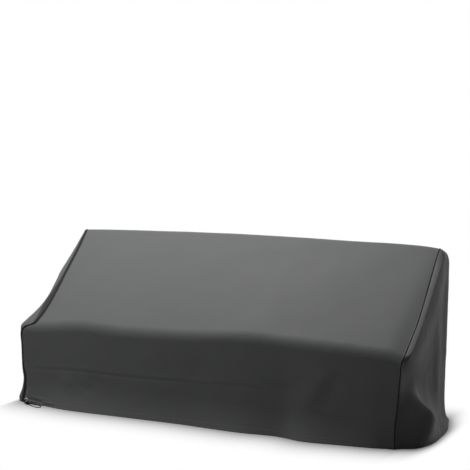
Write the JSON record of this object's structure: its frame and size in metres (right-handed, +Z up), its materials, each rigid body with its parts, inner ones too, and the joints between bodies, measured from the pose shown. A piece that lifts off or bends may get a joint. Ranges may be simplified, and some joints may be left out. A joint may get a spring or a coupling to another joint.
{
  "type": "outdoor sofa cover",
  "caption": "Fitted protective cover for a long outdoor sofa, dark grey coated polyester with black piping, eyelet and drawcord.",
  "frame": {"origin": "on the floor, at the middle of the cover's footprint", "axes": "+X along the sofa's length to the right seen from the front, -Y towards the front of the sofa, +Z up"},
  "size_m": [2.2506, 0.8052, 0.8704],
  "materials": {
    "cover_cloth": "matte coated oxford weave, faint sheen",
    "piping_cloth": "matte black",
    "eyelet_metal": "satin",
    "cord_weave": "matte black braid",
    "lock_plastic": "matte black"
  },
  "bodies": {
    "root": {"main_panel": "cover_cloth", "side_panel_left": "cover_cloth", "side_panel_right": "cover_cloth", "seam_piping_left": "piping_cloth", "seam_piping_right": "piping_cloth", "corner_eyelet": "eyelet_metal", "drawcord": "cord_weave", "cord_lock": "lock_plastic", "cord_lock_button": "lock_plastic"}
  },
  "joints": []
}
